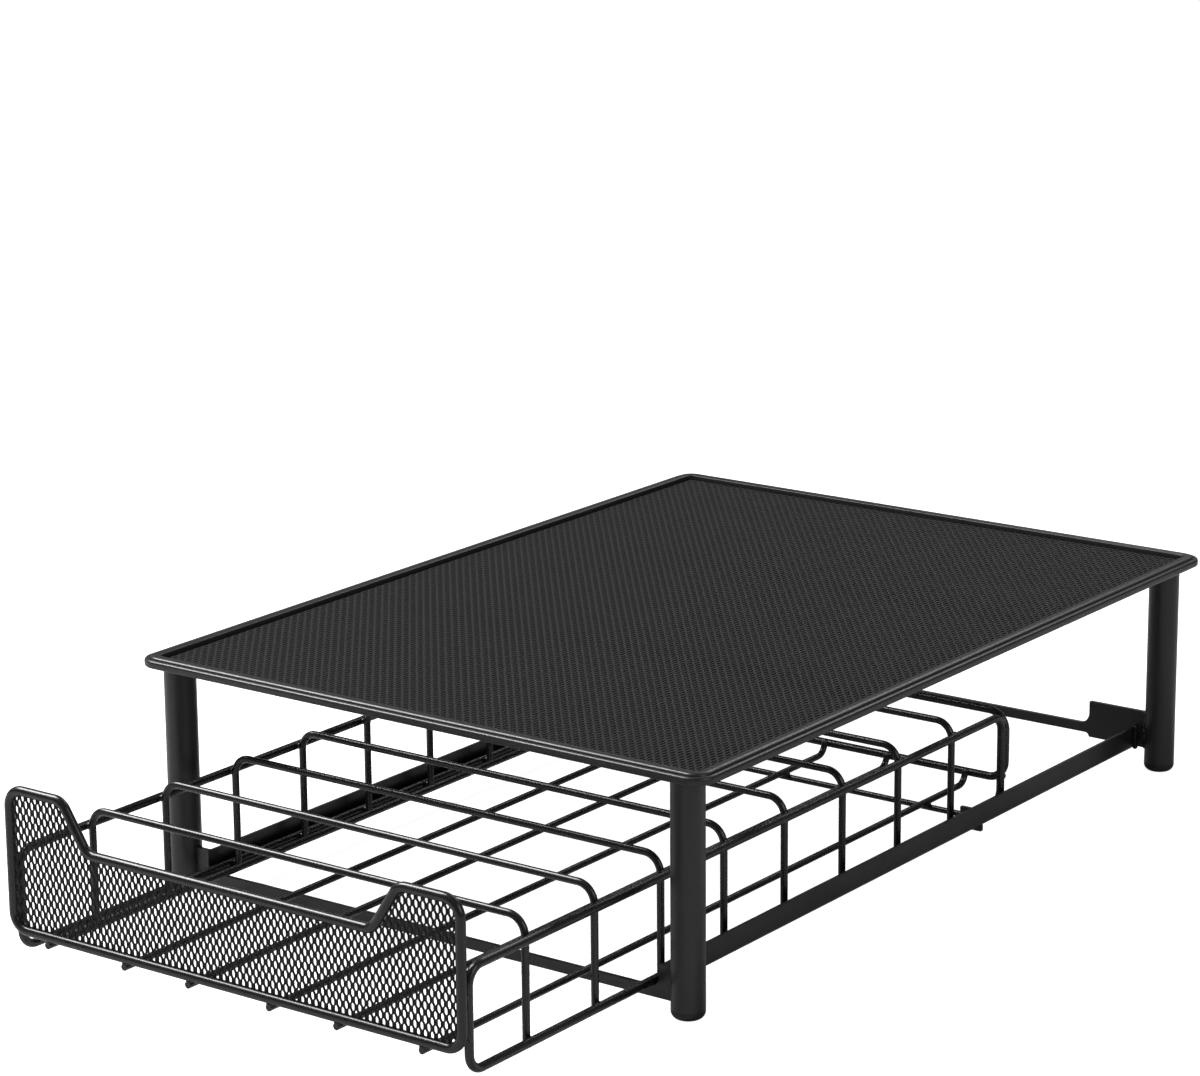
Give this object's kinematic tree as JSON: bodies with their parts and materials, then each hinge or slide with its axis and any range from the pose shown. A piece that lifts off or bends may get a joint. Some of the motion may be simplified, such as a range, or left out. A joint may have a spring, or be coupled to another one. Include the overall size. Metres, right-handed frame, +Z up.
{
  "type": "coffee pod drawer",
  "caption": "Low black metal stand with a mesh top on round tube legs, carrying a sliding welded wire drawer with a dipped expanded-metal front.",
  "frame": {"origin": "on the floor, under the middle of the whole object's box with the drawer standing 106 mm open", "axes": "+X to the right seen from the front, +Y to the back (the drawer pulls out towards -Y), +Z up"},
  "size_m": [0.282, 0.499, 0.1002],
  "materials": {
    "coated_steel": "satin black powder coat on tube, strip and sheet steel",
    "coated_wire": "satin black powder coat on bright drawn wire",
    "coated_mesh": "matt black powder coat on expanded steel",
    "foot_plastic": "moulded black polyethylene"
  },
  "bodies": {
    "stand": {"top_frame": "coated_steel", "top_mesh": "coated_mesh", "top_brace_front": "coated_steel", "top_brace_rear": "coated_steel", "corner_plate_front_left": "coated_steel", "corner_plate_front_right": "coated_steel", "corner_plate_rear_left": "coated_steel", "corner_plate_rear_right": "coated_steel", "leg_front_left": "coated_steel", "leg_front_right": "coated_steel", "leg_rear_left": "coated_steel", "leg_rear_right": "coated_steel", "foot_front_left": "foot_plastic", "foot_front_right": "foot_plastic", "foot_rear_left": "foot_plastic", "foot_rear_right": "foot_plastic", "rail_left": "coated_steel", "rail_right": "coated_steel", "front_crossbar": "coated_steel", "rear_crossbar": "coated_steel"},
    "drawer": {"front_frame": "coated_wire", "front_mesh": "coated_mesh", "side_loop_left": "coated_wire", "side_loop_right": "coated_wire", "rear_loop": "coated_wire", "hoop_1": "coated_wire", "hoop_2": "coated_wire", "hoop_3": "coated_wire", "hoop_4": "coated_wire", "hoop_5": "coated_wire", "hoop_6": "coated_wire", "hoop_7": "coated_wire", "hoop_8": "coated_wire", "rod_1": "coated_wire", "rod_2": "coated_wire", "rod_3": "coated_wire", "rod_4": "coated_wire", "rod_5": "coated_wire", "rod_6": "coated_wire", "cross_bar": "coated_wire", "stop_tab_left": "coated_steel", "stop_tab_right": "coated_steel"}
  },
  "joints": [
    {"name": "drawer_slide", "type": "slide", "parent": "stand", "child": "drawer", "axis": [0, -1, 0], "range_m": [-0.106, 0.2345]}
  ]
}
